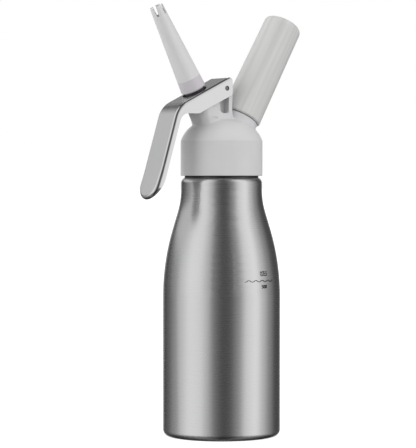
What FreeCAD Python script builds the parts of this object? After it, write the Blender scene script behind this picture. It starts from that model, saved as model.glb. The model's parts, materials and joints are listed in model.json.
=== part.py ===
import FreeCAD, Part
import math
import os

# Whipped cream dispenser, half a litre. Millimetres, +Z up.
# The origin is the centre of the bottle's flat base. The lever lies towards -X, the charger holder
# towards +X, and the XZ plane is the plane of symmetry.

os.makedirs("parts", exist_ok=True)
V = FreeCAD.Vector

# Bottle
body_radius = 39.8
body_wall = 0.8
base_corner = 4.5
shoulder_start = 118.5
shoulder_radius = 161.0
shoulder_end = 159.8
throat_radius = 55.0
collar_radius = 27.5
collar_top = 175.6
collar_slope = 1.3
collar_corner = 4.2
neck_radius = 25.0
neck_length = 13.4

# Head
skirt_radius = 27.8
skirt_gap = 1.2
skirt_height = 23.6
skirt_lip = 0.6
skirt_brow = 3.0
dome_lean = 20.0
dome_height = 14.9
dome_radius = 22.3
neck_clearance = 0.5
gasket_thickness = 2.2
gasket_width = 3.6
gasket_side_gap = 0.3
thread_ring_wall = 1.2
thread_ring_length = 10.0
thread_ring_inset = 1.0
cavity_radius = 20.5
cavity_height = 10.4
cavity_corner = 6.0

# Valve barrel on the head, measured along its own axis from where that axis crosses the bottle's
valve_lean = 28.3
valve_foot = 193.2
barrel_radius = 9.9
barrel_top = 36.4
barrel_rim = 0.8
seat_level = 5.0
seat_boss_radius = 7.6
guide_radius = 4.48
spring_floor = 17.0
spring_bore = 7.4

# Valve stem and what rides on it
stem_radius = 4.4
stem_bore = 2.6
stem_top = 54.2
stem_head_radius = 6.8
stem_head_thickness = 2.0
stem_head_corner = 0.5
seal_radius = 6.4
seal_thickness = 2.1
port_hole_radius = 1.1
port_hole_level = 7.6
port_hole_count = 4
bore_floor = 6.2
ring_levels = (11.5, 14.5)
ring_wire = 0.5
ring_groove_width = 1.3
ring_gap = 0.03
washer_thickness = 0.8
washer_gap = 0.15
flange_bottom = 40.2
flange_top = 43.85
flange_radius = 9.5
flange_flat_radius = 8.6
flange_bevel = 1.05
flange_corner = 0.5
spigot_radius = 6.8
spigot_chamfer = 0.6
thread_gap = 0.25

# Spring round the stem
spring_radius = 6.05
spring_wire = 0.55
spring_turns = 8

# Decorator tip
tip_base = 47.3
tip_base_radius = 8.62
tip_bevel = 0.8
insert_length = 8.7
insert_neck_length = 3.0
insert_neck_radius = 7.0
insert_neck_wall = 0.9
insert_neck_gap = 0.05
spigot_end_gap = 0.3
tip_end = 109.6
tip_end_radius = 4.6
outlet_radius = 3.55
outlet_length = 13.0
tip_wall = 1.3
tooth_count = 5
notch_depth = 6.5
notch_width = 1.5
notch_flare = 0.5
notch_turn = 6.0
tooth_corner = 0.3

# Charger side, measured along its own axis in the same way
charger_lean = 29.1
charger_foot = 189.5
boss_radius = 12.9
boss_top = 30.4
port_floor = 21.0
port_radius = 8.0
port_spigot_radius = 10.7
port_spigot_top = 40.6
port_chamfer = 0.6
neck_socket_radius = 4.7
neck_socket_floor = 31.6
pin_seat_radius = 3.0
pin_seat_level = 29.5
pin_flange_thickness = 2.0
pin_radius = 0.95
pin_point_length = 1.4
pin_bite = 1.9
pin_gap = 0.3
seal_pin_gap = 0.5
seal_side_gap = 0.05
gas_bore = 1.6
gas_bore_start = 12.5
valve_pocket_radius = 4.6
valve_pocket_floor = 18.6
check_disc_thickness = 1.4
check_disc_gap = 0.1
check_nub_radius = 1.5
check_nub_length = 0.8
check_nub_corner = 0.4
charger_seal_thickness = 1.6
port_ring_level = 25.5
port_ring_wire = 0.8
port_ring_groove_width = 2.0
port_ring_gap = 0.05

# Gas charger, the usual 8 gram size
charger_radius = 8.9
charger_length = 65.5
charger_neck_radius = 4.35
charger_neck_length = 7.5
charger_neck_corner = 0.6
charger_throat_radius = 2.0
charger_cone_length = 3.0
charger_cone_radius = 6.0
charger_shoulder_length = 9.0
charger_dome_radius = 6.7
charger_gap = 0.2
charger_wall = 1.4
charger_end_gap = 0.3
pierced_radius = 1.35
pierced_depth = 3.2

# Charger holder
holder_rim = 31.0
holder_rim_radius = 14.1
holder_top_radius = 13.1
holder_top = 107.2
holder_crown = 2.4
holder_crown_radius = 23.0
holder_corner = 4.0
holder_bore_corner = 6.7
holder_rim_chamfer = 0.9
holder_bore_gap = 1.4
sleeve_wall = 0.9
sleeve_recess = 0.6
sleeve_length = 9.8

# Lever, placed from its pivot
pivot_x = -2.9
pivot_z = 235.8
plate_slope = 26.2
plate_rise = 6.06
plate_length = 40.7
handle_lean = 16.5
handle_length = 64.7
lever_width = 23.0
sheet = 1.2
edge_round = 2.4
bend_radius = 16.5
flange_depth = 11.8
belly_drop = 17.3
belly_corner = 6.0
grip_depth = 4.8
grip_corner = 6.8
grip_end_depth = 2.4
grip_end_length = 14.0
grip_end_radius = 8.0
lug_reach = 4.5
lug_corner = 2.6
lever_hole_radius = 8.7
pin_diameter = 3.2
pin_hole_gap = 0.05
pin_recess = 0.6
pin_chamfer = 0.3

# Pivot block between the two horns, placed from the pivot, with a pocket in each side
block_side_gap = 0.5
block_front = 5.7
block_top_radius = 4.4
block_root = 206.0
collar_sweep_gap = 0.4
holder_sweep_gap = 0.4
pocket_floor = 219.2
pocket_front = 2.5
pocket_back_low = 2.6
pocket_back_high = 5.2
pocket_drop_front = 4.4
pocket_drop_back = 8.2
pocket_web = 4.5
pocket_corner = 1.5

# How far a cutting shape runs past what it cuts
overrun = 1.0


def rounded_chain(corners):
    """Edges through (x, z) or (x, z, radius) corners, with an arc at each corner that has a radius."""
    points = [V(c[0], 0, c[1]) for c in corners]
    radii = [c[2] if len(c) > 2 else 0 for c in corners]
    edges = []
    start = points[0]
    for i in range(1, len(points)):
        here = points[i]
        if i == len(points) - 1 or radii[i] == 0:
            edges.append(Part.LineSegment(start, here).toShape())
            start = here
            continue
        back = (points[i - 1] - here).normalize()
        ahead = (points[i + 1] - here).normalize()
        half = back.getAngle(ahead) / 2
        reach = radii[i] / math.tan(half)
        inward = (back + ahead).normalize()
        middle = here + inward * (radii[i] / math.sin(half) - radii[i])
        first = here + back * reach
        last = here + ahead * reach
        if (first - start).Length > 1e-6:
            edges.append(Part.LineSegment(start, first).toShape())
        edges.append(Part.Arc(first, middle, last).toShape())
        start = last
    return edges


def face_from(*chains):
    """A face in the XZ plane from open chains laid end to end and closed by a straight edge."""
    edges = []
    for chain in chains:
        if edges:
            gap_start = edges[-1].lastVertex(True).Point
            gap_end = chain[0].firstVertex(True).Point
            if (gap_end - gap_start).Length > 1e-6:
                edges.append(Part.LineSegment(gap_start, gap_end).toShape())
        edges.extend(chain)
    end = edges[-1].lastVertex(True).Point
    begin = edges[0].firstVertex(True).Point
    if (end - begin).Length > 1e-6:
        edges.append(Part.LineSegment(end, begin).toShape())
    return Part.Face(Part.Wire(Part.__sortEdges__(edges)))


def turned(corners):
    """A solid of revolution about Z from (radius, height) corners."""
    return face_from(rounded_chain(corners)).revolve(V(0, 0, 0), V(0, 0, 1), 360)


def drawn_across(face, half):
    """A face in the XZ plane drawn out to both sides of it."""
    moved = face.copy()
    moved.translate(V(0, -half, 0))
    return moved.extrude(V(0, 2 * half, 0))


def tube(inner, outer, low, high):
    return turned([(inner, low), (outer, low), (outer, high), (inner, high), (inner, low)])


def rod(radius, low, high):
    return Part.makeCylinder(radius, high - low, V(0, 0, low))


def o_ring(radius, wire, level):
    return Part.makeTorus(radius, wire, V(0, 0, level), V(0, 0, 1))


def inset_chain(corners, distance):
    """The chain moved sideways by distance, to the left of its direction, arcs kept concentric."""
    lines = []
    for (a, b) in zip(corners[:-1], corners[1:]):
        length = math.hypot(b[0] - a[0], b[1] - a[1])
        normal = (-(b[1] - a[1]) / length, (b[0] - a[0]) / length)
        shift = (normal[0] * distance, normal[1] * distance)
        lines.append(((a[0] + shift[0], a[1] + shift[1]), (b[0] + shift[0], b[1] + shift[1])))
    moved = [lines[0][0]]
    for index in range(1, len(corners) - 1):
        (ax, az), (bx, bz) = lines[index - 1]
        (cx, cz), (dx, dz) = lines[index]
        turn = (bx - ax) * (dz - cz) - (bz - az) * (dx - cx)
        along = ((cx - ax) * (dz - cz) - (cz - az) * (dx - cx)) / turn
        point = (ax + along * (bx - ax), az + along * (bz - az))
        radius = corners[index][2] if len(corners[index]) > 2 else 0
        if radius:
            radius = radius - distance if turn > 0 else radius + distance
        moved.append(point + (max(radius, 0),))
    moved.append(lines[-1][1])
    return moved


def leaned(shape, lean, foot):
    """A shape made about Z, leaned about Y and stood on the bottle's axis at the height foot."""
    placed = shape.copy()
    placed.rotate(V(0, 0, 0), V(0, 1, 0), lean)
    placed.translate(V(0, 0, foot))
    return placed


def on_valve_axis(shape):
    return leaned(shape, -valve_lean, valve_foot)


def on_charger_axis(shape):
    return leaned(shape, charger_lean, charger_foot)


def all_round(shape, count):
    return [shape.rotated(V(0, 0, 0), V(0, 0, 1), 360.0 * i / count) for i in range(count)]


# Levels that follow from the sizes above
neck_top = collar_top + neck_length
skirt_bottom = collar_top + skirt_gap
skirt_top = skirt_bottom + skirt_height
gasket_top = neck_top + gasket_thickness
cavity_top = gasket_top + cavity_height
dome_top = skirt_top + dome_height
neck_hole_radius = neck_radius + neck_clearance
flange_inner_half = lever_width / 2 - sheet
block_half = flange_inner_half - block_side_gap
pin_radius_lever = pin_diameter / 2
stem_head_top = seat_level - seal_thickness
charger_start = neck_socket_floor + charger_seal_thickness + charger_gap
charger_end = charger_start + charger_length
insert_top = tip_base + insert_length
insert_top_radius = (
    tip_base_radius
    - (tip_base_radius - tip_end_radius) * insert_length / (tip_end - tip_base)
)
insert_bore = spigot_radius + thread_gap
sleeve_bore = port_spigot_radius + thread_gap
sleeve_outer = sleeve_bore + sleeve_wall


def make_bottle():
    outside = [
        (0, 0),
        (body_radius, 0, base_corner),
        (body_radius, shoulder_start, shoulder_radius),
        (collar_radius, shoulder_end, throat_radius),
        (collar_radius, collar_top - collar_slope, collar_corner),
        (neck_radius, collar_top),
        (neck_radius, neck_top),
    ]
    inside = inset_chain(outside, body_wall)
    return face_from(
        rounded_chain(outside), rounded_chain(inside[::-1])
    ).revolve(V(0, 0, 0), V(0, 0, 1), 360)


def make_head_gasket():
    outer = neck_hole_radius - gasket_side_gap
    return tube(outer - gasket_width, outer, neck_top, gasket_top)


def ring_hole_radius():
    return neck_hole_radius + thread_ring_wall


def make_head_thread_ring():
    low = skirt_bottom + thread_ring_inset
    return tube(neck_hole_radius, ring_hole_radius(), low, low + thread_ring_length)


def make_pivot_block():
    """The upright post that carries the lever's pin, with a moulded pocket in each side."""
    tilt = math.radians(valve_lean)
    left = pivot_x - block_top_radius
    right = pivot_x + block_front
    top = pivot_z + block_top_radius
    rim_x = -barrel_top * math.sin(tilt)
    rim_z = valve_foot + barrel_top * math.cos(tilt)
    root_x = -(block_root - valve_foot) * math.tan(tilt)
    outline = face_from(rounded_chain([
        (root_x, block_root),
        (right, block_root),
        (right, top, block_top_radius),
        (left, top, block_top_radius),
        (left, rim_z + (left - rim_x) * math.tan(tilt)),
        (rim_x, rim_z),
        (root_x, block_root),
    ]))
    block = drawn_across(outline, block_half)
    pocket = face_from(rounded_chain([
        (pivot_x - pocket_back_low, pocket_floor),
        (pivot_x + pocket_front, pocket_floor, pocket_corner),
        (pivot_x + pocket_front, pivot_z - pocket_drop_front, pocket_corner),
        (pivot_x - pocket_back_high, pivot_z - pocket_drop_back),
        (pivot_x - pocket_back_low, pocket_floor),
    ]))
    pockets = drawn_across(pocket, block_half + overrun).cut(drawn_across(outline, pocket_web))
    collar_sweep = on_valve_axis(rod(flange_radius + collar_sweep_gap, barrel_top, flange_top))
    holder_sweep = on_charger_axis(
        rod(holder_rim_radius + holder_sweep_gap, boss_top, holder_top)
    )
    return block.cut([pockets, collar_sweep, holder_sweep])


def make_head_body():
    skirt = turned([
        (0, skirt_bottom),
        (skirt_radius, skirt_bottom, skirt_lip),
        (skirt_radius, skirt_top, skirt_brow),
        (skirt_radius - dome_height * math.tan(math.radians(dome_lean)), dome_top, dome_radius),
        (0, dome_top),
        (0, skirt_bottom),
    ])
    barrel = on_valve_axis(turned([
        (0, seat_level), (barrel_radius, seat_level), (barrel_radius, barrel_top, barrel_rim),
        (0, barrel_top), (0, seat_level),
    ]))
    boss = on_charger_axis(rod(boss_radius, valve_pocket_floor, boss_top))
    head = skirt.fuse([barrel, boss, make_pivot_block()])
    cavity = turned([
        (0, skirt_bottom - overrun),
        (neck_hole_radius, skirt_bottom - overrun),
        (neck_hole_radius, gasket_top),
        (cavity_radius, gasket_top),
        (cavity_radius, cavity_top, cavity_corner),
        (0, cavity_top),
        (0, skirt_bottom - overrun),
    ])
    seat_boss = on_valve_axis(rod(seat_boss_radius, seat_level, spring_floor))
    cavity = cavity.cut(seat_boss)
    ring_low = skirt_bottom + thread_ring_inset
    ring_room = tube(neck_hole_radius - overrun, ring_hole_radius(),
                     ring_low, ring_low + thread_ring_length)
    valve_bore = on_valve_axis(
        rod(guide_radius, 0, spring_floor + overrun)
        .fuse(rod(spring_bore, spring_floor, barrel_top + overrun))
    )
    charger_bore = on_charger_axis(
        rod(port_radius, port_floor, boss_top + overrun).fuse([
            rod(valve_pocket_radius, valve_pocket_floor, port_floor + overrun),
            rod(gas_bore, gas_bore_start, valve_pocket_floor + overrun),
        ])
    )
    pin_hole = Part.makeCylinder(
        pin_radius_lever, lever_width, V(pivot_x, -lever_width / 2, pivot_z), V(0, 1, 0)
    )
    return head.cut([cavity, ring_room, valve_bore, charger_bore, pin_hole]).removeSplitter()


def make_valve_stem():
    """A hollow piston: head inside the bottle, side ports above the seal, two ring grooves."""
    groove_radius = ring_centre_radius() - ring_wire - ring_gap
    outside = [
        (0, stem_head_top - stem_head_thickness),
        (stem_head_radius, stem_head_top - stem_head_thickness, stem_head_corner),
        (stem_head_radius, stem_head_top),
        (stem_radius, stem_head_top),
    ]
    for level in ring_levels:
        low = level - ring_groove_width / 2
        high = level + ring_groove_width / 2
        outside += [(stem_radius, low), (groove_radius, low), (groove_radius, high), (stem_radius, high)]
    outside += [
        (stem_radius, stem_top),
        (stem_bore, stem_top),
        (stem_bore, bore_floor),
        (0, bore_floor),
        (0, stem_head_top - stem_head_thickness),
    ]
    stem = turned(outside)
    port = Part.makeCylinder(
        port_hole_radius, stem_radius + overrun, V(0, 0, port_hole_level), V(1, 0, 0)
    )
    return stem.cut(all_round(port, port_hole_count))


def ring_centre_radius():
    return guide_radius - ring_gap - ring_wire


def make_stem_rings():
    return Part.makeCompound([o_ring(ring_centre_radius(), ring_wire, level) for level in ring_levels])


def make_valve_seal():
    return tube(stem_radius, seal_radius, stem_head_top, seat_level)


def make_spring_washer():
    return tube(stem_radius + washer_gap, spring_bore - washer_gap,
                spring_floor, spring_floor + washer_thickness)


def make_push_collar():
    """The nut on the stem: the lever presses its bevelled flange, the tip screws on its spigot."""
    return turned([
        (stem_radius, flange_bottom),
        (flange_radius, flange_bottom, flange_corner),
        (flange_radius, flange_top - flange_bevel),
        (flange_flat_radius, flange_top),
        (spigot_radius, flange_top),
        (spigot_radius, stem_top - spigot_chamfer),
        (spigot_radius - spigot_chamfer, stem_top),
        (stem_radius, stem_top),
        (stem_radius, flange_bottom),
    ])


def arc_by_tangent(start, end, tangent):
    """The circular arc from start to end that leaves start along tangent."""
    chord = end - start
    half = tangent.getAngle(chord)
    toward = (start + tangent * (chord.Length / 2 / math.cos(half))) - (start + chord * 0.5)
    middle = start + chord * 0.5 + toward.normalize() * (chord.Length / 2 * math.tan(half / 2))
    return Part.Arc(start, middle, end).toShape()


def biarc(start, start_tangent, end, end_tangent):
    """Two circular arcs that join two points and their tangents smoothly."""
    span = end - start
    total = start_tangent + end_tangent
    spread = 2 * (1 - start_tangent.dot(end_tangent))
    along = span.dot(total)
    reach = (math.sqrt(along * along + spread * span.dot(span)) - along) / spread
    first = start + start_tangent * reach
    second = end - end_tangent * reach
    join = (first + second) * 0.5
    join_tangent = (second - first).normalize()
    return [arc_by_tangent(start, join, start_tangent), arc_by_tangent(join, end, join_tangent)]


def make_valve_spring():
    """One unbroken helical tube, wound as arcs of a quarter turn."""
    low = spring_floor + washer_thickness + spring_wire
    high = flange_bottom - spring_wire
    rise = (high - low) / spring_turns
    slope = rise / (2 * math.pi * spring_radius)

    def point(quarter):
        angle = quarter * math.pi / 2
        return V(spring_radius * math.cos(angle), spring_radius * math.sin(angle),
                 low + rise * quarter / 4)

    def tangent(quarter):
        angle = quarter * math.pi / 2
        return V(-math.sin(angle), math.cos(angle), slope).normalize()

    path = []
    for quarter in range(4 * spring_turns):
        path += biarc(point(quarter), tangent(quarter), point(quarter + 1), tangent(quarter + 1))
    section = Part.Wire(Part.makeCircle(spring_wire, point(0), tangent(0)))
    gap = rise * math.cos(math.atan(slope)) - 2 * spring_wire
    print("valve_spring least gap between turns", round(gap, 2))
    return Part.Wire(path).makePipeShell([section], True, False)


def make_tip_insert():
    """The metal ring at the foot of the tip, with the thread's plain bore and a neck into the tip."""
    shoulder = stem_top + spigot_end_gap
    neck_top_level = insert_top + insert_neck_length
    return turned([
        (insert_bore, tip_base),
        (tip_base_radius - tip_bevel, tip_base),
        (tip_base_radius, tip_base + tip_bevel),
        (insert_top_radius, insert_top),
        (insert_neck_radius, insert_top),
        (insert_neck_radius, neck_top_level),
        (insert_neck_radius - insert_neck_wall, neck_top_level),
        (insert_neck_radius - insert_neck_wall, shoulder),
        (insert_bore, shoulder),
        (insert_bore, tip_base),
    ])


def make_decorator_tip():
    """A tapered nozzle that ends in five long teeth."""
    socket_radius = insert_neck_radius + insert_neck_gap
    socket_top = insert_top + insert_neck_length + insert_neck_gap
    cone = turned([
        (socket_radius, insert_top),
        (insert_top_radius, insert_top),
        (tip_end_radius, tip_end, tooth_corner),
        (outlet_radius, tip_end),
        (outlet_radius, tip_end - outlet_length),
        (insert_neck_radius - insert_neck_wall, socket_top),
        (socket_radius, socket_top),
        (socket_radius, insert_top),
    ])
    half = notch_width / 2
    mouth = half + notch_flare
    notch_round = half * 0.9
    notch = face_from(rounded_chain([
        (-mouth, tip_end + overrun),
        (-half, tip_end - notch_depth, notch_round),
        (half, tip_end - notch_depth, notch_round),
        (mouth, tip_end + overrun),
        (-mouth, tip_end + overrun),
    ]))
    notch = notch.extrude(V(0, tip_base_radius, 0))
    notch.rotate(V(0, 0, 0), V(0, 0, 1), notch_turn - 90)
    return cone.cut(all_round(notch, tooth_count))


def make_charger_port():
    """The metal insert screwed into the charger horn; its spigot takes the holder's thread."""
    groove_low = port_ring_level - port_ring_groove_width / 2
    groove_high = port_ring_level + port_ring_groove_width / 2
    groove_radius = port_radius - 2 * (port_ring_wire + port_ring_gap)
    return turned([
        (pin_seat_radius, port_floor),
        (port_radius, port_floor),
        (port_radius, groove_low),
        (groove_radius, groove_low),
        (groove_radius, groove_high),
        (port_radius, groove_high),
        (port_radius, boss_top),
        (port_spigot_radius, boss_top),
        (port_spigot_radius, port_spigot_top - port_chamfer),
        (port_spigot_radius - port_chamfer, port_spigot_top),
        (neck_socket_radius, port_spigot_top),
        (neck_socket_radius, neck_socket_floor),
        (pin_radius + pin_gap, neck_socket_floor),
        (pin_radius + pin_gap, pin_seat_level),
        (pin_seat_radius, pin_seat_level),
        (pin_seat_radius, port_floor),
    ])


def make_port_ring():
    return o_ring(port_radius - port_ring_gap - port_ring_wire, port_ring_wire, port_ring_level)


def make_piercing_pin():
    point = charger_start + pin_bite
    return turned([
        (0, pin_seat_level - pin_flange_thickness),
        (pin_seat_radius, pin_seat_level - pin_flange_thickness),
        (pin_seat_radius, pin_seat_level),
        (pin_radius, pin_seat_level),
        (pin_radius, point - pin_point_length),
        (0, point),
        (0, pin_seat_level - pin_flange_thickness),
    ])


def make_charger_seal():
    return tube(pin_radius + seal_pin_gap, neck_socket_radius - seal_side_gap,
                neck_socket_floor, neck_socket_floor + charger_seal_thickness)


def make_check_valve():
    disc_top = valve_pocket_floor + check_disc_thickness
    return turned([
        (0, valve_pocket_floor),
        (valve_pocket_radius - check_disc_gap, valve_pocket_floor),
        (valve_pocket_radius - check_disc_gap, disc_top),
        (check_nub_radius, disc_top),
        (check_nub_radius, disc_top + check_nub_length, check_nub_corner),
        (0, disc_top + check_nub_length),
        (0, valve_pocket_floor),
    ])


def make_gas_charger():
    """A steel cartridge: narrow neck with a pierced cap, round shoulder and domed end."""
    neck_end = charger_start + charger_neck_length
    shoulder_end_level = neck_end + charger_shoulder_length
    outside = [
        (charger_neck_radius, charger_start, charger_neck_corner),
        (charger_neck_radius, neck_end, charger_throat_radius),
        (charger_radius, neck_end + charger_cone_length, charger_cone_radius),
        (charger_radius, charger_end, charger_dome_radius),
        (0, charger_end),
    ]
    inside = [
        (pierced_radius, charger_start + pierced_depth),
        (charger_neck_radius - charger_wall, charger_start + pierced_depth),
        (charger_neck_radius - charger_wall, neck_end + charger_wall),
        (charger_radius - charger_wall, shoulder_end_level),
        (charger_radius - charger_wall, charger_end - charger_wall, charger_dome_radius - charger_wall),
        (0, charger_end - charger_wall),
    ]
    face = face_from(
        rounded_chain([(pierced_radius, charger_start)] + outside),
        rounded_chain(inside[::-1]),
    )
    return face.revolve(V(0, 0, 0), V(0, 0, 1), 360)


def make_charger_holder():
    """A round-ended cap over the charger, with a seat for the threaded sleeve at its rim."""
    sleeve_top = holder_rim + sleeve_recess + sleeve_length
    bore = charger_radius + holder_bore_gap
    outside = [
        (sleeve_outer, holder_rim),
        (holder_rim_radius - holder_rim_chamfer, holder_rim),
        (holder_rim_radius, holder_rim + holder_rim_chamfer),
        (holder_top_radius, holder_top - holder_crown, holder_corner),
        (holder_top_radius / 2, holder_top, holder_crown_radius),
        (0, holder_top),
    ]
    inside = [
        (sleeve_outer, holder_rim),
        (sleeve_outer, sleeve_top),
        (bore, sleeve_top),
        (bore, charger_end + charger_end_gap, holder_bore_corner),
        (0, charger_end + charger_end_gap),
    ]
    return face_from(
        rounded_chain(outside), rounded_chain(inside[::-1])
    ).revolve(V(0, 0, 0), V(0, 0, 1), 360)


def make_holder_sleeve():
    low = holder_rim + sleeve_recess
    return tube(sleeve_bore, sleeve_outer, low, low + sleeve_length)


# Directions of the lever: along its plate towards the pivot, out of the plate, down the handle,
# and from the handle's face towards the bottle
slope = math.radians(plate_slope)
lean = math.radians(handle_lean)
plate_along = V(math.cos(slope), 0, math.sin(slope))
plate_out = V(-math.sin(slope), 0, math.cos(slope))
handle_down = V(-math.sin(lean), 0, -math.cos(lean))
handle_in = V(math.cos(lean), 0, -math.sin(lean))
pivot = V(pivot_x, 0, pivot_z)
plate_foot = pivot + plate_out * plate_rise
bend_corner = plate_foot - plate_along * plate_length
handle_tip = bend_corner + handle_down * handle_length
lug_side = V(pivot_x + lug_reach, 0, 0)
upright = V(0, 0, 1)


def flat(point, radius=0):
    return (point.x, point.z, radius)


def crossing(first, first_way, second, second_way):
    """Where two lines in the XZ plane meet."""
    across = first_way.x * second_way.z - first_way.z * second_way.x
    gap = second - first
    return first + first_way * ((gap.x * second_way.z - gap.z * second_way.x) / across)


def plate_end():
    """How far the plate runs past the pivot's foot: it stops where the lug's upper corner begins."""
    corner = crossing(plate_foot, plate_along, lug_side, upright)
    half = math.pi / 4 - slope / 2
    return (corner - plate_foot).Length - lug_corner / math.tan(half)


def skin_path(depth, past_plate):
    """The lever's long outside line, set in by depth, from its pivot end to just past the tip."""
    plate_point = plate_foot - plate_out * depth
    handle_point = handle_tip + handle_in * depth
    corner = crossing(plate_point, plate_along, handle_point, handle_down)
    return [
        flat(plate_point + plate_along * (plate_end() + past_plate)),
        flat(corner, bend_radius - depth),
        flat(handle_point + handle_down * overrun),
    ]


def flange_line():
    """The free edge of the two flanges, from the handle's tip back to the pivot end."""
    grip = handle_tip + handle_in * grip_depth
    belly = V(0, 0, pivot_z - belly_drop)
    lower = plate_foot - plate_out * flange_depth
    level = V(1, 0, 0)
    return [
        flat(handle_tip + handle_down * overrun + handle_in * grip_end_depth),
        flat(grip - handle_down * grip_end_length, grip_end_radius),
        flat(crossing(grip, handle_down, belly, level), grip_corner),
        flat(crossing(lower, plate_along, belly, level), belly_corner),
        flat(crossing(lower, plate_along, lug_side, upright), lug_corner),
        flat(crossing(plate_foot, plate_along, lug_side, upright), lug_corner),
        flat(plate_foot + plate_along * plate_end()),
    ]


def skin_block(depth):
    """All that lies inside the lever's skin at a depth, round at the handle's tip and at its edges."""
    half = lever_width / 2 - depth
    path = skin_path(depth, lever_width)
    right = path[0][0]
    room = [
        flat(handle_tip + handle_down * overrun + handle_in * (depth + lever_width)),
        (right, pivot_z - plate_length),
        path[0],
    ]
    bar = drawn_across(face_from(rounded_chain(path), rounded_chain(room)), half)
    centre = handle_tip - handle_down * (lever_width / 2)
    far = centre - handle_down * (handle_length + 2 * plate_length)
    side = V(0, half, 0)
    plan = Part.Face(Part.Wire([
        Part.LineSegment(centre - side, far - side).toShape(),
        Part.LineSegment(far - side, far + side).toShape(),
        Part.LineSegment(far + side, centre + side).toShape(),
        Part.Arc(centre + side, centre + handle_down * half, centre - side).toShape(),
    ]))
    plan.translate(handle_in * -plate_length)
    bar = bar.common(plan.extrude(handle_in * 3 * (plate_length + lever_width)))
    skin = Part.Wire(rounded_chain(path))
    rim = []
    for edge in bar.Edges:
        middle = edge.valueAt((edge.FirstParameter + edge.LastParameter) / 2)
        on_skin = Part.Vertex(V(middle.x, 0, middle.z)).distToShape(skin)[0] < 1e-3
        at_side = abs(middle.y) > half - 1e-3
        round_end = isinstance(edge.Curve, Part.Circle) and edge.Length > 2 * half
        if on_skin and (at_side or round_end):
            rim.append(edge)
    return bar.makeFillet(edge_round - depth, rim)


def make_lever():
    """One stamping: a channel with two flanges, bent once, with a rounded and lipped handle end."""
    outline = face_from(rounded_chain(skin_path(0, 0)), rounded_chain(flange_line()))
    shell = skin_block(0).common(drawn_across(outline, lever_width / 2)).cut(skin_block(sheet))
    stop = plate_foot + plate_along * plate_end()
    relief = Part.Face(Part.makePolygon([
        stop - plate_out * 3 * sheet,
        stop + plate_out * 3 * sheet,
        stop + plate_out * 3 * sheet + plate_along * lever_width,
        stop - plate_out * 3 * sheet + plate_along * lever_width,
        stop - plate_out * 3 * sheet,
    ]))
    valve_way = V(-math.sin(math.radians(valve_lean)), 0, math.cos(math.radians(valve_lean)))
    plate_middle = plate_foot - plate_out * (sheet / 2)
    hole_centre = crossing(V(0, 0, valve_foot), valve_way, plate_middle, plate_along)
    stem_hole = Part.makeCylinder(
        lever_hole_radius, 4 * sheet, hole_centre - plate_out * 2 * sheet, plate_out
    )
    pin_hole = Part.makeCylinder(
        pin_radius_lever + pin_hole_gap, 2 * lever_width, pivot - V(0, lever_width, 0), V(0, 1, 0)
    )
    return shell.cut([drawn_across(relief, lever_width / 2 - sheet), stem_hole, pin_hole])


def make_lever_pin():
    half = lever_width / 2 - pin_recess
    pin = Part.makeCylinder(pin_radius_lever, 2 * half, pivot - V(0, half, 0), V(0, 1, 0))
    ends = [e for e in pin.Edges if isinstance(e.Curve, Part.Circle)]
    return pin.makeChamfer(pin_chamfer, ends)


nodes = {
    "bottle": make_bottle(),
    "head_gasket": make_head_gasket(),
    "head_thread_ring": make_head_thread_ring(),
    "head_body": make_head_body(),
    "lever": make_lever(),
    "lever_pin": make_lever_pin(),
    "valve_stem": on_valve_axis(make_valve_stem()),
    "valve_seal": on_valve_axis(make_valve_seal()),
    "stem_rings": on_valve_axis(make_stem_rings()),
    "spring_washer": on_valve_axis(make_spring_washer()),
    "valve_spring": on_valve_axis(make_valve_spring()),
    "push_collar": on_valve_axis(make_push_collar()),
    "tip_thread_insert": on_valve_axis(make_tip_insert()),
    "decorator_tip": on_valve_axis(make_decorator_tip()),
    "charger_port": on_charger_axis(make_charger_port()),
    "port_ring": on_charger_axis(make_port_ring()),
    "piercing_pin": on_charger_axis(make_piercing_pin()),
    "charger_seal": on_charger_axis(make_charger_seal()),
    "check_valve": on_charger_axis(make_check_valve()),
    "gas_charger": on_charger_axis(make_gas_charger()),
    "charger_holder": on_charger_axis(make_charger_holder()),
    "holder_thread_sleeve": on_charger_axis(make_holder_sleeve()),
}

for name, shape in nodes.items():
    solids = shape.Solids
    print(name, "valid", shape.isValid(), "solids", len(solids), "volume", round(shape.Volume, 1))
    shape.exportStep("parts/" + name + ".step")
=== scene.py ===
import json
import math

import bmesh
import bpy
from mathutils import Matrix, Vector
from mathutils.kdtree import KDTree


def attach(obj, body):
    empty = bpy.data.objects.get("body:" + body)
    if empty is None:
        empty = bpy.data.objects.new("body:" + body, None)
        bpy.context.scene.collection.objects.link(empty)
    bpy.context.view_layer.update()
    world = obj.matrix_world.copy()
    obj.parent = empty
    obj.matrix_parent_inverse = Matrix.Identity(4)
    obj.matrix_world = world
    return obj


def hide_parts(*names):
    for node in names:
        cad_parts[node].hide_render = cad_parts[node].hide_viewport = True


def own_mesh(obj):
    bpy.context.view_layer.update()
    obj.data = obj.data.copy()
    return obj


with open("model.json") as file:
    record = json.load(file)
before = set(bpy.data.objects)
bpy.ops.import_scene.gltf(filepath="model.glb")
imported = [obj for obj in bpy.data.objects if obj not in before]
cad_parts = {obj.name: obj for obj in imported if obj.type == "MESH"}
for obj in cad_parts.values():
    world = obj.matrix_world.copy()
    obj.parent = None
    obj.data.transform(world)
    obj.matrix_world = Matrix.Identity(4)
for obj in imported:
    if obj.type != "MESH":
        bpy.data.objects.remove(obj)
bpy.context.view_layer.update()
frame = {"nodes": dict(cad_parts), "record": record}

# Millimetre sizes that the visible pieces share with the solids
MM = 0.001
VALVE_LEAN = math.radians(-28.3)
VALVE_FOOT = 193.2
CHARGER_LEAN = math.radians(29.1)
CHARGER_FOOT = 189.5
BODY_RADIUS = 39.8
NECK_FROM = 175.4
FILL_LEVEL = 106.6
HANDLE_LEAN = math.radians(16.5)
LEVER_HALF = 11.5
LEVER_ROLLED_EDGE = 2.6
BARREL_CLEAR = 9.5
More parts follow.
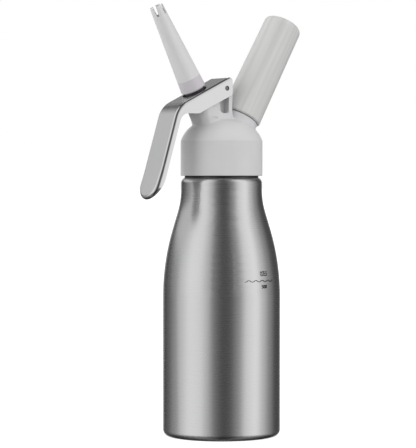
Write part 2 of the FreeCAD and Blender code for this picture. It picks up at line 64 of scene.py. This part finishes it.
BARREL_HALF = 9.9
BOSS_CLEAR = 12.4
HOLDER_RIM = 29.4
SHARP_ANGLE = math.radians(35)


def srgb(code):
    """A hex colour as linear RGBA."""
    values = [int(code[i:i + 2], 16) / 255 for i in (1, 3, 5)]
    return [v / 12.92 if v <= 0.04045 else ((v + 0.055) / 1.055) ** 2.4 for v in values] + [1.0]


def node(tree, kind, links=None, **settings):
    """One node with its settings; links maps an input's name or number to a value or a socket."""
    made = tree.nodes.new(kind)
    for name, value in settings.items():
        setattr(made, name, value)
    for name, value in (links or {}).items():
        if isinstance(value, bpy.types.NodeSocket):
            tree.links.new(value, made.inputs[name])
        else:
            made.inputs[name].default_value = value
    return made


def new_finish(name):
    finish = bpy.data.materials.new(name)
    finish.use_nodes = True
    tree = finish.node_tree
    shader = tree.nodes["Principled BSDF"]
    return finish, tree, shader


def object_place(tree, lean=0.0, foot=0.0, scale=(1, 1, 1)):
    """Object coordinates stood upright on a leaning axis, then stretched."""
    place = node(tree, "ShaderNodeTexCoord").outputs["Object"]
    if lean:
        place = node(tree, "ShaderNodeMapping", {
            "Vector": place, "Rotation": (0, lean, 0), "Location": (0, 0, foot * MM),
        }, vector_type="TEXTURE").outputs["Vector"]
    return node(tree, "ShaderNodeMapping", {"Vector": place, "Scale": scale}).outputs["Vector"]


def brushed_stainless():
    """Drawn 18/10 stainless, brushed round the axis: fine level lines that smear light up and down."""
    finish, tree, shader = new_finish("brushed_stainless")
    lines = node(tree, "ShaderNodeTexNoise", {
        "Vector": object_place(tree, scale=(30, 30, 2600)), "Scale": 1.0, "Detail": 3.0, "Roughness": 0.6,
    })
    cloud = node(tree, "ShaderNodeTexNoise", {
        "Vector": object_place(tree), "Scale": 22.0, "Detail": 2.0,
    })
    tone = node(tree, "ShaderNodeMix", {
        0: lines.outputs["Fac"], "A": srgb("#D0D0D1"), "B": srgb("#D9D9D9"),
    }, data_type="RGBA")
    gloss = node(tree, "ShaderNodeMapRange", {
        "Value": lines.outputs["Fac"], "To Min": 0.22, "To Max": 0.29,
    })
    haze = node(tree, "ShaderNodeMath", {
        0: cloud.outputs["Fac"], 1: 0.05, 2: gloss.outputs["Result"],
    }, operation="MULTIPLY_ADD")
    relief = node(tree, "ShaderNodeBump", {
        "Height": lines.outputs["Fac"], "Strength": 0.03, "Distance": 0.00005,
    })
    # Painted shade: the neck under the skirt, which sits in the shade of the narrow gap there, is painted
    # darker, and is also made duller
    height = node(tree, "ShaderNodeSeparateXYZ", {0: object_place(tree)})
    painted_neck_shade = node(tree, "ShaderNodeMapRange", {
        "Value": height.outputs["Z"], "From Min": NECK_FROM * MM, "From Max": (NECK_FROM + 0.4) * MM,
    })
    tone = node(tree, "ShaderNodeMix", {
        0: painted_neck_shade.outputs["Result"], "A": tone.outputs["Result"], "B": srgb("#59595A"),
    }, data_type="RGBA")
    haze = node(tree, "ShaderNodeMath", {
        0: painted_neck_shade.outputs["Result"], 1: 0.3, 2: haze.outputs["Value"],
    }, operation="MULTIPLY_ADD")
    way = node(tree, "ShaderNodeTangent", direction_type="RADIAL", axis="Z")
    tree.links.new(tone.outputs["Result"], shader.inputs["Base Color"])
    tree.links.new(haze.outputs["Value"], shader.inputs["Roughness"])
    tree.links.new(relief.outputs["Normal"], shader.inputs["Normal"])
    tree.links.new(way.outputs["Tangent"], shader.inputs["Tangent"])
    shader.inputs["Metallic"].default_value = 1.0
    shader.inputs["Anisotropic"].default_value = 0.5
    shader.inputs["Anisotropic Rotation"].default_value = 0.25
    return finish


def polished_stainless(name, rough=0.16, tone="#DADADA", grain=None):
    """Stamped and polished stainless; a grain scale draws faint lines along the piece."""
    finish, tree, shader = new_finish(name)
    smear = node(tree, "ShaderNodeTexNoise", {
        "Vector": object_place(tree, scale=grain or (60, 60, 60)), "Scale": 1.0, "Detail": 3.0,
    })
    gloss = node(tree, "ShaderNodeMapRange", {
        "Value": smear.outputs["Fac"], "To Min": rough * 0.8, "To Max": rough * 1.2,
    })
    relief = node(tree, "ShaderNodeBump", {
        "Height": smear.outputs["Fac"], "Strength": 0.03, "Distance": 0.00004,
    })
    tree.links.new(gloss.outputs["Result"], shader.inputs["Roughness"])
    tree.links.new(relief.outputs["Normal"], shader.inputs["Normal"])
    shader.inputs["Base Color"].default_value = srgb(tone)
    shader.inputs["Metallic"].default_value = 1.0
    return finish


def brushed_sheet():
    """The lever's flat faces, brushed along their length: fine lines that smear light across."""
    finish, tree, shader = new_finish("brushed_lever_sheet")
    lines = node(tree, "ShaderNodeTexNoise", {
        "Vector": object_place(tree, scale=(25, 3000, 25)), "Scale": 1.0, "Detail": 4.0, "Roughness": 0.65,
    })
    tone = node(tree, "ShaderNodeMix", {
        0: lines.outputs["Fac"], "A": srgb("#CFCFD0"), "B": srgb("#DFDFDF"),
    }, data_type="RGBA")
    gloss = node(tree, "ShaderNodeMapRange", {
        "Value": lines.outputs["Fac"], "To Min": 0.22, "To Max": 0.30,
    })
    relief = node(tree, "ShaderNodeBump", {
        "Height": lines.outputs["Fac"], "Strength": 0.10, "Distance": 0.00004,
    })
    way = node(tree, "ShaderNodeTangent", direction_type="RADIAL", axis="Y")
    tree.links.new(tone.outputs["Result"], shader.inputs["Base Color"])
    tree.links.new(gloss.outputs["Result"], shader.inputs["Roughness"])
    tree.links.new(relief.outputs["Normal"], shader.inputs["Normal"])
    tree.links.new(way.outputs["Tangent"], shader.inputs["Tangent"])
    shader.inputs["Metallic"].default_value = 1.0
    shader.inputs["Anisotropic"].default_value = 0.9
    shader.inputs["Anisotropic Rotation"].default_value = 0.25
    return finish


def moulded_plastic(name, tone, shade, rough, lean=0.0, foot=0.0, flow=(40, 40, 40)):
    """Injection-moulded polyamide: a fine spark-eroded skin of about 0.1 mm and faint flow marks."""
    finish, tree, shader = new_finish(name)
    skin = node(tree, "ShaderNodeTexNoise", {
        "Vector": object_place(tree), "Scale": 5200.0, "Detail": 2.0,
    })
    marks = node(tree, "ShaderNodeTexNoise", {
        "Vector": object_place(tree, lean, foot, flow), "Scale": 1.0, "Detail": 3.0,
    })
    streak = node(tree, "ShaderNodeMapRange", {
        "Value": marks.outputs["Fac"], "From Min": 0.32, "From Max": 0.68,
    })
    mixed = node(tree, "ShaderNodeMix", {
        0: streak.outputs["Result"], "A": srgb(tone), "B": srgb(shade),
    }, data_type="RGBA")
    gloss = node(tree, "ShaderNodeMapRange", {
        "Value": marks.outputs["Fac"], "To Min": rough - 0.05, "To Max": rough + 0.05,
    })
    relief = node(tree, "ShaderNodeBump", {
        "Height": skin.outputs["Fac"], "Strength": 0.12, "Distance": 0.00003,
    })
    tree.links.new(mixed.outputs["Result"], shader.inputs["Base Color"])
    tree.links.new(gloss.outputs["Result"], shader.inputs["Roughness"])
    tree.links.new(relief.outputs["Normal"], shader.inputs["Normal"])
    shader.inputs["IOR"].default_value = 1.5
    return finish


def plain_finish(name, tone, rough, metallic=0.0):
    """Small inner pieces: one tone with a soft speckle in its gloss."""
    finish, tree, shader = new_finish(name)
    speck = node(tree, "ShaderNodeTexNoise", {
        "Vector": object_place(tree), "Scale": 900.0, "Detail": 2.0,
    })
    gloss = node(tree, "ShaderNodeMapRange", {
        "Value": speck.outputs["Fac"], "To Min": rough * 0.85, "To Max": rough * 1.15,
    })
    tree.links.new(gloss.outputs["Result"], shader.inputs["Roughness"])
    shader.inputs["Base Color"].default_value = srgb(tone)
    shader.inputs["Metallic"].default_value = metallic
    return finish


FINISHES = {
    "bottle": brushed_stainless(),
    "lever": polished_stainless("polished_lever_steel", 0.12, "#D3D3D3", (25, 900, 25)),
    "lever_face": brushed_sheet(),
    # Painted shade: the pin is toned dark to stand in for the shade of its recess in the lever's side
    "pin": polished_stainless("shade_darkened_turned_pin", 0.30, "#77777A"),
    # Painted shade: the push collar is toned near black to stand in for the shade inside the lever's hole
    # under the tip
    "collar": plain_finish("shade_painted_push_collar", "#3A3A3C", 0.45),
    "etched": plain_finish("etched_fill_mark", "#2E2E30", 0.6),
    "bright": polished_stainless("turned_bright_steel"),
    "head": moulded_plastic("moulded_head_plastic", "#CACACB", "#C5C5C6", 0.42),
    "holder": moulded_plastic("moulded_holder_plastic", "#CBCBCA", "#BBBBBA", 0.40,
                              CHARGER_LEAN, CHARGER_FOOT, (300, 300, 8)),
    "tip": moulded_plastic("moulded_tip_plastic", "#D3D2D3", "#CAC9CA", 0.36,
                           VALVE_LEAN, VALVE_FOOT, (300, 300, 8)),
    "insert": plain_finish("satin_anodised_ring", "#BFBBC0", 0.42),
    "seal": plain_finish("silicone_seal", "#6A6A6C", 0.55),
    "spring": polished_stainless("spring_wire", 0.22),
}


def spoon_handle_end(bm, reach=26.0, crown=0.7, kick=1.5):
    """The lever's handle swells a little and its lip turns outward over the last stretch."""
    down = Vector((-math.sin(HANDLE_LEAN), 0, -math.cos(HANDLE_LEAN)))
    out = Vector((-math.cos(HANDLE_LEAN), 0, math.sin(HANDLE_LEAN)))
    end = max(v.co.dot(down) for v in bm.verts)

    def cut(place, normal):
        faces = [f for f in bm.faces if f.calc_center_median().dot(down) > end - (reach + 6) * MM]
        edges = {e for f in faces for e in f.edges}
        verts = {v for f in faces for v in f.verts}
        bmesh.ops.bisect_plane(bm, geom=[*faces, *edges, *verts], plane_co=place, plane_no=normal, dist=1e-6)

    for step in range(0, 30, 2):
        cut(down * (end - (step + 0.7) * MM), down)
    for step in range(-5, 6):
        cut(Vector((0, step * 1.9 * MM, 0)), Vector((0, 1, 0)))
    half = LEVER_HALF * MM
    for vert in bm.verts:
        past = vert.co.dot(down) - (end - reach * MM)
        if past > 0:
            ease = min(1.0, past / (0.7 * reach * MM))
            ease = ease * ease * (3 - 2 * ease)
            turn_in = max(0.0, vert.co.dot(down) - (end - half))
            near = min(1.0, math.hypot(vert.co.y, turn_in) / half)
            lip = min(1.0, past / (reach * MM)) ** 3
            vert.co += out * ((crown * ease * (1 - near ** 3) + kick * lip) * MM)


def from_axis(point, lean, foot):
    """How far a point lies from a leaning axis through the bottle's own."""
    way = Vector((math.sin(lean), 0, math.cos(lean)))
    return (point - Vector((0, 0, foot * MM))).cross(way).length


def soften_junctions(bm, low=202.5, high=217.0, reaches=(4.4, 3.9, 3.4, 2.9, 2.4, 1.9), rounds=8, fine=0.6):
    """Moulded blends where the barrel, the horn and the pivot block grow out of the head's dome.

    low and high bound the junctions, reaches are the blend's rings from wide to narrow, and fine is the
    longest edge left there, all in mm.
    """
    horn = Vector((math.sin(CHARGER_LEAN), 0, math.cos(CHARGER_LEAN)))
    horn_foot = Vector((0, 0, CHARGER_FOOT * MM))
    seeds = set()
    for edge in bm.edges:
        middle = (edge.verts[0].co + edge.verts[1].co) / 2
        outside = (from_axis(middle, VALVE_LEAN, VALVE_FOOT) > BARREL_CLEAR * MM
                   and from_axis(middle, CHARGER_LEAN, CHARGER_FOOT) > BOSS_CLEAR * MM)
        if low * MM < middle.z < high * MM and outside:
            dome_side = max(f.normal.z for f in edge.link_faces)
            hollow = math.radians(-150) < edge.calc_face_angle_signed(0) < math.radians(-18)
            if dome_side > 0.5 and hollow:
                seeds.update(tuple(v.co) for v in edge.verts)
    marks = KDTree(len(seeds))
    for i, place in enumerate(seeds):
        marks.insert(place, i)
    marks.balance()

    def region(reach):
        """The vertices on the surface round the seeds, without a jump through a wall."""
        seen = {v for v in bm.verts if marks.find(v.co)[2] < 1e-6}
        rim = list(seen)
        while rim:
            fresh = []
            for vert in rim:
                for edge in vert.link_edges:
                    other = edge.other_vert(vert)
                    if other not in seen and marks.find(other.co)[2] < reach * MM:
                        seen.add(other)
                        fresh.append(other)
            rim = fresh
        return {v for v in seen if (v.co - horn_foot).dot(horn) < HOLDER_RIM * MM}

    for _ in range(7):
        inside = region(reaches[0] + 1.0)
        long = [e for e in bm.edges if e.calc_length() > fine * MM
                and (e.verts[0] in inside or e.verts[1] in inside)
                and marks.find((e.verts[0].co + e.verts[1].co) / 2)[2] < (reaches[0] + 1.0) * MM]
        if not long:
            break
        bmesh.ops.subdivide_edges(bm, edges=long, cuts=1)
        bmesh.ops.triangulate(bm, faces=[f for f in bm.faces if len(f.verts) > 3])
    rings = [list(region(reach)) for reach in reaches]
    for ring in rings:
        for _ in range(rounds):
            bmesh.ops.smooth_vert(bm, verts=ring, factor=0.5,
                                  use_axis_x=True, use_axis_y=True, use_axis_z=True)
    # Between the lever's sides the blend stays as narrow as the barrel
    for vert in rings[0]:
        if vert.co.z > 216.0 * MM and vert.co.x < 1.0 * MM:
            vert.co.y = max(-BARREL_HALF * MM, min(BARREL_HALF * MM, vert.co.y))


def finished_copy(node_name, body, finish):
    """The solid's own mesh, merged and smoothed between its sharp edges, in place of the node."""
    source = frame["nodes"][node_name]
    bm = bmesh.new()
    bm.from_mesh(source.data)
    bmesh.ops.remove_doubles(bm, verts=bm.verts, dist=2e-6)
    if node_name == "lever":
        spoon_handle_end(bm)
    if node_name == "head_body":
        soften_junctions(bm)
    return settle(bm, node_name, body, finish)


def settle(bm, node_name, body, finish):
    """A finished bmesh becomes a piece that rides on a body and stands for a node."""
    name = node_name + "_skin"
    for face in bm.faces:
        face.smooth = True
    for edge in bm.edges:
        edge.smooth = edge.calc_face_angle(0) < SHARP_ANGLE
    mesh = bpy.data.meshes.new(name)
    bm.to_mesh(mesh)
    bm.free()
    mesh.materials.append(FINISHES[finish])
    piece = bpy.data.objects.new(name, mesh)
    bpy.context.collection.objects.link(piece)
    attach(piece, body)
    even = piece.modifiers.new("even_normals", "WEIGHTED_NORMAL")
    even.keep_sharp = True
    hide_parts(node_name)
    return piece


BODY_OF = {node_name: body for body, names in frame["record"]["behaviour"]["bodies"].items()
           for node_name in names}
FINISH_OF = {
    "bottle": "bottle", "head_gasket": "seal", "head_thread_ring": "bright", "head_body": "head",
    "lever": "lever", "lever_pin": "pin", "valve_stem": "bright", "valve_seal": "seal",
    "stem_rings": "seal", "spring_washer": "bright", "valve_spring": "spring", "push_collar": "collar",
    "tip_thread_insert": "insert", "decorator_tip": "tip", "charger_port": "bright", "port_ring": "seal",
    "piercing_pin": "bright", "charger_seal": "seal", "check_valve": "seal", "gas_charger": "bright",
    "charger_holder": "holder", "holder_thread_sleeve": "bright",
}
skins = {}
for node_name in frame["nodes"]:
    skins[node_name] = finished_copy(node_name, BODY_OF[node_name], FINISH_OF[node_name])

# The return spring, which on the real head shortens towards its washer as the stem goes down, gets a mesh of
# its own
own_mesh(skins["valve_spring"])

# The lever's sheet faces are brushed, its sides and rolled edges polished
skins["lever"].data.materials.append(FINISHES["lever_face"])
for face in skins["lever"].data.polygons:
    if abs(face.normal.y) < 0.3 and abs(face.center.y) < (LEVER_HALF - LEVER_ROLLED_EDGE) * MM:
        face.material_index = 1


def on_bottle(point, azimuth, level, depth):
    """A point of a flat drawing (x across, y up) laid round the bottle's side."""
    angle = azimuth + point.x / (BODY_RADIUS * MM)
    out = BODY_RADIUS * MM + depth
    return Vector((math.cos(angle) * out, math.sin(angle) * out, level + point.y))


def etched_piece(name, mesh):
    """A mark on the bottle in the etched finish."""
    mesh.materials.append(FINISHES["etched"])
    piece = bpy.data.objects.new(name, mesh)
    bpy.context.collection.objects.link(piece)
    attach(piece, "bottle")


def fill_wave(azimuth, length=25.0, pitch=5.6, swing=0.55, width=0.16):
    """The etched level line: a wavy hairline round the bottle's side."""
    line = bpy.data.curves.new("fill_wave", "CURVE")
    line.dimensions = "3D"
    line.bevel_depth = width * MM
    line.bevel_resolution = 1
    spline = line.splines.new("POLY")
    count = 120
    spline.points.add(count)
    for i, point in enumerate(spline.points):
        across = (i / count - 0.5) * length
        up = math.sin(2 * math.pi * across / pitch) * swing
        place = on_bottle(Vector((across * MM, up * MM)), azimuth, FILL_LEVEL * MM, -0.08 * MM)
        point.co = (*place, 1)
    drawn = bpy.data.objects.new("fill_wave_line", line)
    etched_piece("fill_wave", bpy.data.meshes.new_from_object(drawn))
    bpy.data.objects.remove(drawn)


def fill_number(text, azimuth, level, size):
    """Plain numbers etched by the level line."""
    letters = bpy.data.curves.new("fill_number", "FONT")
    letters.body = text
    letters.size = size * MM
    letters.align_x = "CENTER"
    letters.align_y = "CENTER"
    letters.extrude = 0.1 * MM
    drawn = bpy.data.objects.new("fill_number_text", letters)
    mesh = bpy.data.meshes.new_from_object(drawn)
    bpy.data.objects.remove(drawn)
    for vertex in mesh.vertices:
        vertex.co = on_bottle(vertex.co, azimuth, level * MM, vertex.co.z - 0.05 * MM)
    etched_piece("fill_number_" + text.replace(".", "_"), mesh)


MARK_AZIMUTH = math.radians(-81.4)
NUMBER_AZIMUTH = MARK_AZIMUTH + math.radians(4.7)
fill_wave(MARK_AZIMUTH)
fill_number("0.5", NUMBER_AZIMUTH, 111.4, 4.6)
fill_number("500", NUMBER_AZIMUTH, 102.6, 3.4)


# Studio: a white floor, soft boxes left, back left and right, a weak top light, and a dome that only
# reflections see
VIEW_AZIMUTH = math.radians(-123)
VIEW_TURN = math.radians(33)
VIEW_AWAY = 1.5
VIEW_HEIGHT = 0.176
PIXEL = 0.68
DOME_RADIUS = 6
AIM_HEIGHT = 0.17


def seen_directly(tree):
    """The light path, and 1 for rays from the camera or off a shiny surface."""
    path = node(tree, "ShaderNodeLightPath")
    return path, node(tree, "ShaderNodeMath", {
        0: path.outputs["Is Camera Ray"], 1: path.outputs["Is Glossy Ray"],
    }, operation="MAXIMUM")


def backdrop(name, bm, finish_name):
    """A studio surface with an empty material."""
    mesh = bpy.data.meshes.new(name)
    bm.to_mesh(mesh)
    bm.free()
    surface = bpy.data.objects.new(name, mesh)
    bpy.context.collection.objects.link(surface)
    finish = bpy.data.materials.new(finish_name)
    finish.use_nodes = True
    finish.node_tree.nodes.clear()
    mesh.materials.append(finish)
    return surface, finish, finish.node_tree


def studio_world():
    """White behind the object, soft grey fill on it."""
    world = bpy.data.worlds.new("studio_air")
    bpy.context.scene.world = world
    world.use_nodes = True
    tree = world.node_tree
    back = tree.nodes["Background"]
    path, seen = seen_directly(tree)
    seen = node(tree, "ShaderNodeMath", {
        0: seen.outputs["Value"], 1: path.outputs["Is Transmission Ray"],
    }, operation="MAXIMUM")
    level = node(tree, "ShaderNodeMapRange", {
        "Value": seen.outputs["Value"], "To Min": 0.88, "To Max": 1.0,
    })
    tree.links.new(level.outputs["Result"], back.inputs["Strength"])
    back.inputs["Color"].default_value = (1, 1, 1, 1)


def studio_floor():
    """A white floor that keeps a faint contact shadow."""
    bm = bmesh.new()
    bmesh.ops.create_circle(bm, cap_ends=True, segments=96, radius=30)
    floor, _, tree = backdrop("studio_floor", bm, "white_sweep")
    _, seen = seen_directly(tree)
    glow = node(tree, "ShaderNodeMath", {0: seen.outputs["Value"], 1: 0.84}, operation="MULTIPLY")
    emission = node(tree, "ShaderNodeEmission", {"Strength": glow.outputs["Value"]})
    paint = node(tree, "ShaderNodeBsdfDiffuse", {"Color": (0.5, 0.5, 0.5, 1)})
    both = node(tree, "ShaderNodeAddShader", {0: emission.outputs[0], 1: paint.outputs[0]})
    node(tree, "ShaderNodeOutputMaterial", {"Surface": both.outputs[0]})
    floor.visible_glossy = False


def studio_dome():
    """Grey cloth with a bright panel on each side, seen only in reflections."""
    bm = bmesh.new()
    bmesh.ops.create_uvsphere(bm, u_segments=64, v_segments=32, radius=DOME_RADIUS)
    dome, finish, tree = backdrop("studio_dome", bm, "studio_cloth")
    place = node(tree, "ShaderNodeTexCoord").outputs["Object"]
    place = node(tree, "ShaderNodeVectorRotate", {
        "Vector": place, "Angle": -VIEW_AZIMUTH,
    }, rotation_type="Z_AXIS").outputs["Vector"]
    part = node(tree, "ShaderNodeSeparateXYZ", {0: place})
    bearing = node(tree, "ShaderNodeMath", {0: part.outputs["Y"], 1: part.outputs["X"]}, operation="ARCTAN2")
    turn = node(tree, "ShaderNodeMapRange", {
        "Value": bearing.outputs["Value"], "From Min": -math.pi, "From Max": math.pi,
    })
    ramp = node(tree, "ShaderNodeValToRGB", {"Fac": turn.outputs["Result"]})
    # Bearing from the camera in degrees, and brightness there
    stops = [(-180, 0.5), (-164, 0.12), (-150, 0.05), (-128, 0.13), (-105, 0.33), (-84, 0.78), (-66, 1.02),
             (-44, 0.97), (-28, 0.66), (-14, 0.20), (2, 0.08), (16, 0.10), (32, 0.32), (52, 0.94),
             (72, 1.1), (90, 0.66), (108, 0.31), (130, 0.08), (155, 0.08), (180, 0.5)]
    ramp.color_ramp.interpolation = "EASE"
    for position, value in stops:
        where = position / 360 + 0.5
        if where in (0.0, 1.0):
            stop = ramp.color_ramp.elements[int(where)]
        else:
            stop = ramp.color_ramp.elements.new(where)
        stop.color = (value, value, value, 1)
    height = node(tree, "ShaderNodeMath", {0: part.outputs["Z"], 1: DOME_RADIUS}, operation="DIVIDE")
    height = node(tree, "ShaderNodeMath", {0: height.outputs["Value"]}, operation="ARCSINE")

    def between(source, low, high, value_low=0.0, value_high=1.0):
        return node(tree, "ShaderNodeMapRange", {
            "Value": source, "From Min": math.radians(low), "From Max": math.radians(high),
            "To Min": value_low, "To Max": value_high,
        }, interpolation_type="SMOOTHSTEP").outputs["Result"]

    def window(*edges):
        """1 inside a patch of the dome; edges are (source, low, high, value_low, value_high)."""
        inside = 1.0
        for edge in edges:
            inside = node(tree, "ShaderNodeMath", {
                0: between(*edge), 1: inside,
            }, operation="MULTIPLY").outputs[0]
        return inside

    up = height.outputs["Value"]
    along = bearing.outputs["Value"]
    handle_card = window((up, 11, 14), (up, 31, 35, 1.0, 0.0),
                         (along, -150, -141), (along, -98, -88, 1.0, 0.0))
    plate_card = window((up, 14, 20), (up, 45, 55, 1.0, 0.0), (along, -150, -141, 1.0, 0.0))
    tones = node(tree, "ShaderNodeMix", {
        0: handle_card, "A": ramp.outputs["Color"], "B": (0.70, 0.70, 0.70, 1),
    }, data_type="RGBA")
    tones = node(tree, "ShaderNodeMix", {
        0: plate_card, "A": tones.outputs["Result"], "B": (0.46, 0.46, 0.46, 1),
    }, data_type="RGBA")
    # Darker towards the floor and the top, with a dark flag that draws the band at the lever's bend
    falloff = window((up, -34, -16, 0.2, 1.0), (up, 52, 74, 1.0, 0.12))
    flag = window((up, 25.8, 27), (up, 30, 31.5, 1.0, 0.0), (along, -150, -140, 1.0, 0.0))
    strength = node(tree, "ShaderNodeMath", {0: flag, 1: -0.9, 2: falloff}, operation="MULTIPLY_ADD")
    emission = node(tree, "ShaderNodeEmission", {
        "Color": tones.outputs["Result"], "Strength": strength.outputs["Value"],
    })
    node(tree, "ShaderNodeOutputMaterial", {"Surface": emission.outputs[0]})
    finish.cycles.emission_sampling = "NONE"
    dome.visible_camera = False
    dome.visible_diffuse = False
    dome.visible_shadow = False
    dome.visible_transmission = False


def soft_box(name, bearing, height, distance, size, power):
    """A large area light aimed at the middle of the object, kept out of the reflections."""
    light = bpy.data.lights.new(name, "AREA")
    light.shape = "RECTANGLE"
    light.size, light.size_y = size
    light.energy = power
    lamp = bpy.data.objects.new(name, light)
    angle = VIEW_AZIMUTH + math.radians(bearing)
    place = Vector((math.cos(angle) * distance, math.sin(angle) * distance, height))
    lamp.location = place
    lamp.rotation_euler = (place - Vector((0, 0, AIM_HEIGHT))).to_track_quat("Z", "Y").to_euler()
    lamp.visible_glossy = False
    bpy.context.collection.objects.link(lamp)


def studio_camera():
    """Level with the top of the bottle, 1.5 m away, 33 degrees to the left of square on."""
    camera = bpy.data.cameras.new("studio_camera")
    camera.sensor_fit = "VERTICAL"
    camera.sensor_height = 36.0
    camera.lens = 177.3
    view = bpy.data.objects.new("studio_camera", camera)
    ahead = Vector((math.sin(VIEW_TURN), math.cos(VIEW_TURN), 0))
    view.location = -ahead * VIEW_AWAY + Vector((0, 0, VIEW_HEIGHT))
    # Aimed 13.5 pixels to the left of the bottle's axis and 47 below its top
    pixel = PIXEL * MM
    right = Vector((ahead.y, -ahead.x, 0))
    target = view.location + ahead * VIEW_AWAY - right * 13.5 * pixel - Vector((0, 0, 47 * pixel))
    view.rotation_euler = (view.location - target).to_track_quat("Z", "Y").to_euler()
    bpy.context.collection.objects.link(view)
    bpy.context.scene.camera = view


studio_world()
studio_floor()
studio_dome()
soft_box("left_box", -62, 0.35, 1.3, (0.9, 1.4), 8.5)
soft_box("back_left_box", -118, 0.3, 1.3, (0.7, 1.2), 7.0)
soft_box("right_box", 66, 0.45, 1.3, (1.0, 1.4), 8.0)
soft_box("top_box", 0, 1.5, 0.4, (1.2, 1.2), 0.5)
studio_camera()
bpy.context.scene.view_settings.view_transform = "Standard"
